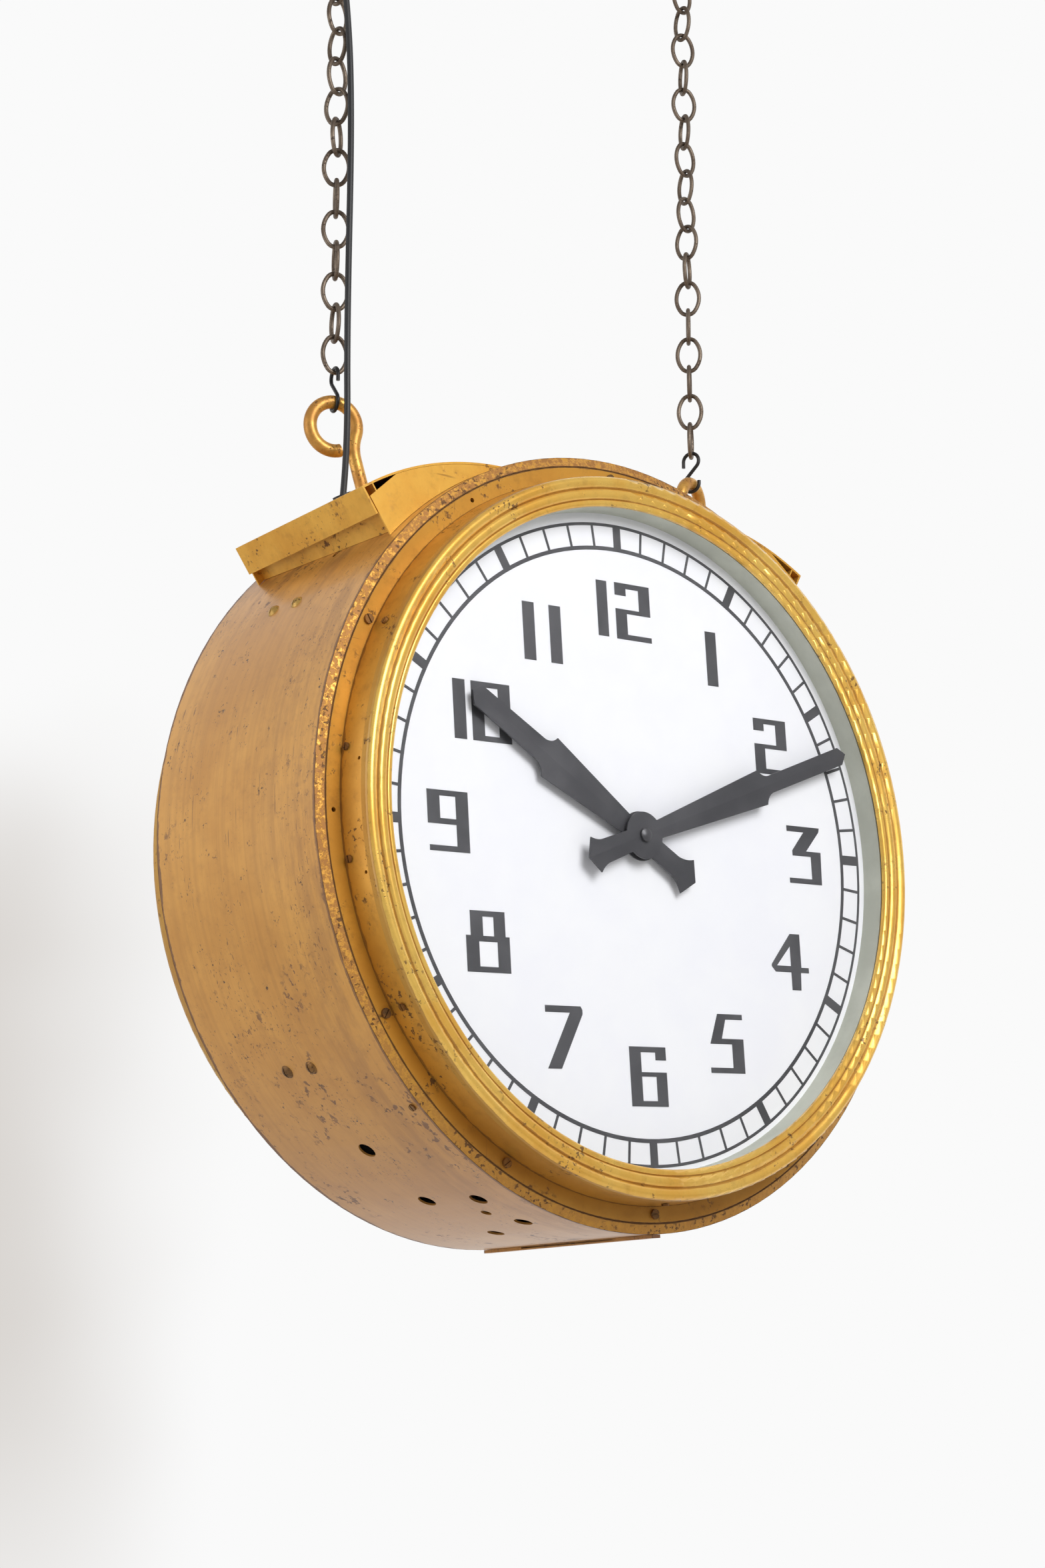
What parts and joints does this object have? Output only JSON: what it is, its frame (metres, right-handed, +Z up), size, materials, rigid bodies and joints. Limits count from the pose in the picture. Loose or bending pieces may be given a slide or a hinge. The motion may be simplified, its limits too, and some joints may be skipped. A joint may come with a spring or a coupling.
{
  "type": "double sided station clock",
  "caption": "Round double-faced clock that hangs from a ceiling on two chains, with bold numerals, baton hands, a moulded bezel and a drum case.",
  "frame": {"origin": "middle of the four ceiling fixing holes, on the ceiling plane", "axes": "+Z up out of the ceiling, +X to the right and -Y out of the front dial"},
  "size_m": [0.72, 0.3266, 1.3843],
  "materials": {
    "drum_paint": "satin, scuffed",
    "gold_paint": "satin",
    "bezel_brass": "polished, worn",
    "glass": "clear",
    "reveal_paint": "matt",
    "dial_enamel": "semi-matt",
    "print_ink": "matt",
    "hand_paint": "satin",
    "frame_steel": "zinc plated",
    "wheel_brass": "machined",
    "coil_resin": "satin",
    "dark_steel": "oxidised",
    "chain_steel": "aged",
    "black_wire": "satin",
    "cable_rubber": "matt",
    "terminal_ceramic": "glazed",
    "rose_plastic": "gloss"
  },
  "bodies": {
    "ceiling": {"ceiling_hook_left": "chain_steel", "ceiling_hook_right": "chain_steel", "cable_rose": "rose_plastic"},
    "chains": {"chain_left": "chain_steel", "chain_right": "chain_steel", "s_hook_left": "black_wire", "s_hook_right": "black_wire", "supply_cable": "cable_rubber"},
    "front_minute": {"front_centre_arbor": "wheel_brass", "front_minute_hand": "hand_paint", "front_hand_nut": "bezel_brass"},
    "front_hour": {"front_hour_wheel": "wheel_brass", "front_hour_hand": "hand_paint"},
    "front_minute_wheel": {"front_minute_wheel": "wheel_brass"},
    "front_motor": {"front_motor_pinion": "frame_steel"},
    "rear_minute": {"rear_centre_arbor": "wheel_brass", "rear_minute_hand": "hand_paint", "rear_hand_nut": "bezel_brass"},
    "rear_hour": {"rear_hour_wheel": "wheel_brass", "rear_hour_hand": "hand_paint"},
    "rear_minute_wheel": {"rear_minute_wheel": "wheel_brass"},
    "rear_motor": {"rear_motor_pinion": "frame_steel"},
    "clock": {"bottom_cover": "drum_paint", "bridge_bolts": "frame_steel", "cable_grommet": "cable_rubber", "case_drum": "drum_paint", "centre_bridge": "frame_steel", "eye_bolt_left": "bezel_brass", "eye_bolt_nuts": "frame_steel", "eye_bolt_right": "bezel_brass", "front_bezel": "bezel_brass", "front_case_screws": "dark_steel", "front_casing_ring": "gold_paint", "front_dial": "dial_enamel", "front_dial_print": "print_ink", "front_glass": "glass", "front_motor_case": "frame_steel", "front_motor_coil": "coil_resin", "front_reveal_ring": "reveal_paint", "front_rim_band": "gold_paint", "hood_left": "drum_paint", "hood_right": "drum_paint", "lid_left": "drum_paint", "lid_right": "drum_paint", "lower_bar": "frame_steel", "lower_bar_screws": "dark_steel", "rear_bezel": "bezel_brass", "rear_case_screws": "dark_steel", "rear_casing_ring": "gold_paint", "rear_dial": "dial_enamel", "rear_dial_print": "print_ink", "rear_glass": "glass", "rear_motor_case": "frame_steel", "rear_motor_coil": "coil_resin", "rear_reveal_ring": "reveal_paint", "rear_rim_band": "gold_paint", "suspension_saddle": "frame_steel", "terminal_block": "terminal_ceramic", "upper_bar": "frame_steel", "upper_bar_screws": "bezel_brass"}
  },
  "joints": [
    {"name": "chains_swing", "type": "hinge", "parent": "ceiling", "child": "chains", "pos_m": [0, 0, -0.0342], "axis": [0.9997, 0, -0.0245], "range_deg": [-8, 8]},
    {"name": "clock_tilt", "type": "hinge", "parent": "chains", "child": "clock", "pos_m": [0, 0, -0.6136], "axis": [0.999, 0, 0.0437], "range_deg": [-6, 6], "deforming": ["supply_cable"]},
    {"name": "front_minute_turn", "type": "hinge", "parent": "clock", "child": "front_minute", "pos_m": [0.02492, 0, -1.02179], "axis": [0, 1, 0], "continuous": true},
    {"name": "front_hour_turn", "type": "hinge", "parent": "clock", "child": "front_hour", "pos_m": [0.02492, 0, -1.02179], "axis": [0, 1, 0], "continuous": true},
    {"name": "front_minute_wheel_turn", "type": "hinge", "parent": "clock", "child": "front_minute_wheel", "pos_m": [0.02638, 0, -1.04574], "axis": [0, 1, 0], "continuous": true},
    {"name": "front_motor_turn", "type": "hinge", "parent": "clock", "child": "front_motor", "pos_m": [0.02279, 0, -0.98686], "axis": [0, 1, 0], "continuous": true},
    {"name": "rear_minute_turn", "type": "hinge", "parent": "clock", "child": "rear_minute", "pos_m": [0.02492, 0, -1.02179], "axis": [0, -1, 0], "continuous": true},
    {"name": "rear_hour_turn", "type": "hinge", "parent": "clock", "child": "rear_hour", "pos_m": [0.02492, 0, -1.02179], "axis": [0, -1, 0], "continuous": true},
    {"name": "rear_minute_wheel_turn", "type": "hinge", "parent": "clock", "child": "rear_minute_wheel", "pos_m": [0.02638, 0, -1.04574], "axis": [0, -1, 0], "continuous": true},
    {"name": "rear_motor_turn", "type": "hinge", "parent": "clock", "child": "rear_motor", "pos_m": [0.02279, 0, -0.98686], "axis": [0, -1, 0], "continuous": true}
  ],
  "couplings": [
    {"joint": "front_hour_turn", "follows": "front_minute_turn", "ratio": 0.083333},
    {"joint": "front_minute_wheel_turn", "follows": "front_minute_turn", "ratio": -0.33333},
    {"joint": "front_motor_turn", "follows": "front_minute_turn", "ratio": -6},
    {"joint": "rear_hour_turn", "follows": "rear_minute_turn", "ratio": 0.083333},
    {"joint": "rear_minute_wheel_turn", "follows": "rear_minute_turn", "ratio": -0.33333},
    {"joint": "rear_motor_turn", "follows": "rear_minute_turn", "ratio": -6}
  ]
}
